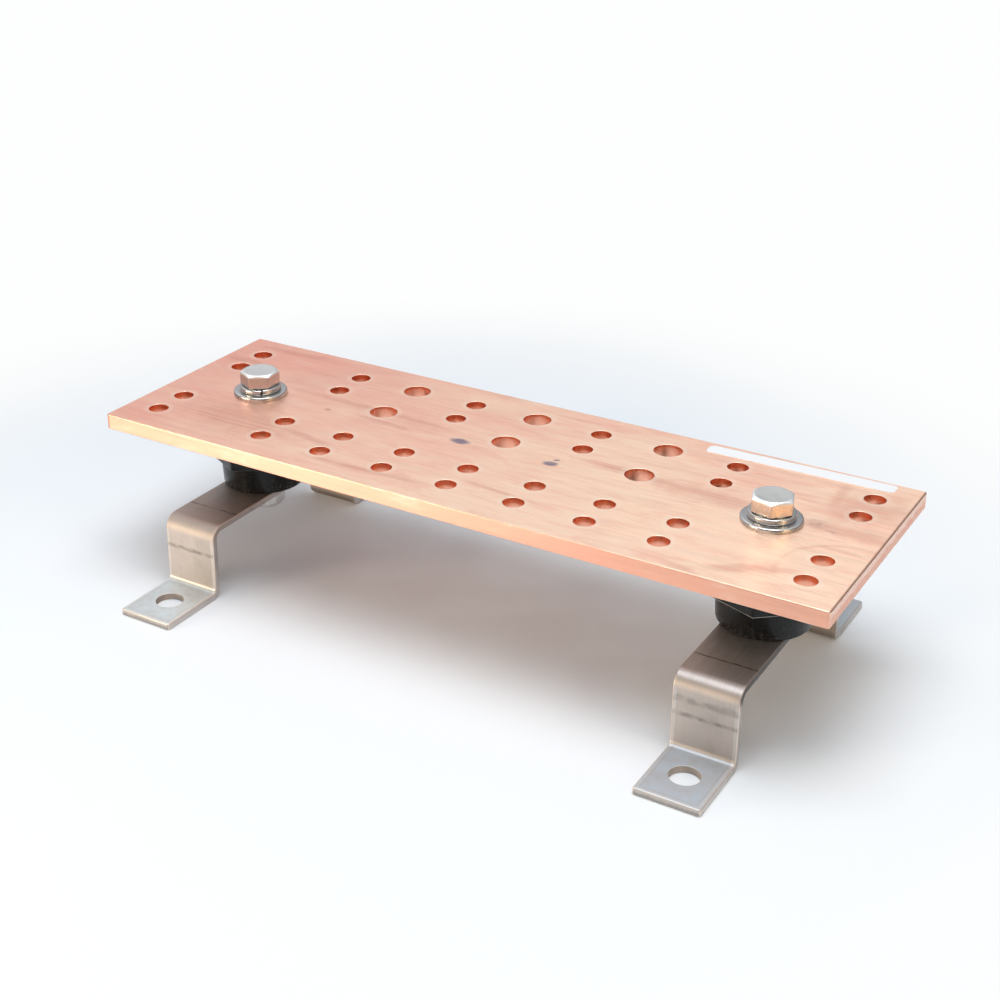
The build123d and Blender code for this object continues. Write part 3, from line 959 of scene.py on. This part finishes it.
def makeFloor():
    # A round sheet: points at r cos a, r sin a, just under the feet.
    radius = np.array([0.0, 0.2, 0.5, 1.0, 2.5, ground["reach"]])
    angles = np.linspace(0, radians(360), 96, endpoint=False)
    profile = np.stack([radius, np.zeros_like(radius)], -1)[:, None, :]
    grid = turnedGrid(profile, angles, (0, 0, -0.05 * mm))
    material, tree, shader = newMaterial("pale floor")
    coords = place(tree)
    moved = combined(tree, "SUBTRACT", coords, (*ground["middle"], 0))
    reach = combined(tree, "LENGTH", moved, output="Value")
    # Darker and bluer near the object as painted shade, whiter further out
    uneven = spread(tree, noise(tree, coords, 3, 3), 0.3, 0.7, -0.02, 0.02)
    share = spread(tree, plus(tree, reach, uneven), 0.15, 0.6, smooth=True)
    tree.links.new(mixed(tree, share, ground["near"], ground["far"]), shader.inputs["Base Color"])
    shader.inputs["Roughness"].default_value = 0.6
    shader.inputs["Specular IOR Level"].default_value = 0.2
    white = addNode(tree, "Emission", {"Color": backdrop, "Strength": 1.0}).outputs[0]
    rays = addNode(tree, "LightPath", {}).outputs
    seen = most(tree, [rays["Is Camera Ray"], rays["Is Glossy Ray"], rays["Is Transmission Ray"]])
    clear = spread(tree, plus(tree, reach, uneven), ground["clearFrom"], ground["clearTo"], smooth=True)
    both = {0: times(tree, seen, clear), 1: shader.outputs[0], 2: white}
    both = addNode(tree, "MixShader", both).outputs[0]
    tree.links.new(both, tree.nodes["Material Output"].inputs["Surface"])
    mesh = bpy.data.meshes.new("floor")
    mesh.from_pydata(grid.reshape(-1, 3).tolist(), [], gridFaces(len(radius), len(angles), False, True))
    shell = closedShell(mesh)
    if sum(face.normal.z for face in shell.faces) < 0:
        bmesh.ops.reverse_faces(shell, faces=shell.faces)
    shell.to_mesh(mesh)
    shell.free()
    mesh.materials.append(material)
    floor = linked("floor", mesh)


makeFloor()


# Light

studio = {
    "ambient": (0.86, 0.92, 1.0), "ambientLevel": 0.30,
    "horizon": (0.29, 0.31, 0.34), "zenith": (1.25, 1.27, 1.30),
    "leftToRight": (1.52, 0.68), "frontToBack": (0.30, 1.0),
    "overhead": {
        "place": (0.10, -0.17, 1.25), "aim": (0.0, 0.0, 0.06), "size": (0.85, 0.85), "power": 12.6,
        "colour": (0.97, 0.985, 1.0),
    },
    "frontLeft": {
        "place": (-0.47, -0.66, 0.11), "aim": (-0.07, -0.05, 0.06), "size": (0.32, 0.16), "power": 3.9,
        "colour": (1.0, 0.81, 0.60),
    },
    "farRight": {
        "place": (0.95, -0.22, 0.46), "aim": (0.11, 0.0, 0.07), "size": (0.30, 0.30), "power": 1.2,
        "colour": (1.0, 0.82, 0.50),
    },
}


def aimed(place, aim):
    away = (Vector(place) - Vector(aim)).normalized()
    return Matrix.Translation(place) @ away.to_track_quat("Z", "Y").to_matrix().to_4x4()


def makeLamp(name):
    settings = studio[name]
    lamp = bpy.data.lights.new(name, "AREA")
    lamp.shape = "RECTANGLE"
    lamp.size, lamp.size_y = settings["size"]
    lamp.energy = settings["power"]
    lamp.color = settings["colour"]
    linked(name, lamp).matrix_world = aimed(settings["place"], settings["aim"])


def makeWorld():
    world = bpy.data.worlds.new("studio")
    bpy.context.scene.world = world
    world.use_nodes = True
    tree = world.node_tree
    x, y, z = parts(tree, addNode(tree, "TexCoord", {}).outputs["Generated"])
    sky = mixed(tree, spread(tree, z, 0.30, 0.80, smooth=True), studio["horizon"], studio["zenith"])
    sideways = spread(tree, x, -0.75, -0.15, *studio["leftToRight"])
    frontward = spread(tree, y, -0.40, 0.30, *studio["frontToBack"])
    rays = addNode(tree, "LightPath", {}).outputs
    reflected = work(tree, "MAXIMUM", rays["Is Glossy Ray"], rays["Is Transmission Ray"])
    soft = tree.nodes["Background"]
    soft.inputs["Color"].default_value = (*studio["ambient"], 1.0)
    soft.inputs["Strength"].default_value = studio["ambientLevel"]
    skyInputs = {"Color": sky, "Strength": times(tree, sideways, frontward)}
    mirror = addNode(tree, "Background", skyInputs).outputs[0]
    both = addNode(tree, "MixShader", {0: reflected, 1: soft.outputs[0], 2: mirror}).outputs[0]
    white = addNode(tree, "Background", {"Color": backdrop, "Strength": 1.0}).outputs[0]
    seen = addNode(tree, "MixShader", {0: rays["Is Camera Ray"], 1: both, 2: white}).outputs[0]
    tree.links.new(seen, tree.nodes["World Output"].inputs["Surface"])


makeWorld()
for name in ("overhead", "frontLeft", "farRight"):
    makeLamp(name)


# Camera, fitted to the holes and corners of the bar in the photograph

view = {
    "place": (289.31 * mm, -500.51 * mm, 334.73 * mm),
    "azimuth": 32.582, "elevation": 22.667, "roll": -0.514, "shift": (0.0739, -0.1039),
    "focalPixels": 1650.4, "framePixels": 1000, "sensor": 36.0,
}


def makeCamera():
    azimuth, elevation, roll = (radians(view[key]) for key in ("azimuth", "elevation", "roll"))
    back = Vector((sin(azimuth) * cos(elevation), -cos(azimuth) * cos(elevation), sin(elevation)))
    level = Vector((cos(azimuth), sin(azimuth), 0))
    upright = back.cross(level)
    right = cos(roll) * level + sin(roll) * upright
    up = cos(roll) * upright - sin(roll) * level
    camera = bpy.data.cameras.new("camera")
    camera.sensor_width = view["sensor"]
    camera.lens = view["focalPixels"] * view["sensor"] / view["framePixels"]
    camera.shift_x, camera.shift_y = view["shift"]
    camera.clip_start = 0.01
    holder = linked("camera", camera)
    turned = Matrix((right, up, back)).transposed().to_4x4()
    holder.matrix_world = Matrix.Translation(view["place"]) @ turned
    bpy.context.scene.camera = holder


makeCamera()
bpy.context.scene.view_settings.view_transform = "Standard"
print("stage, light and camera set")
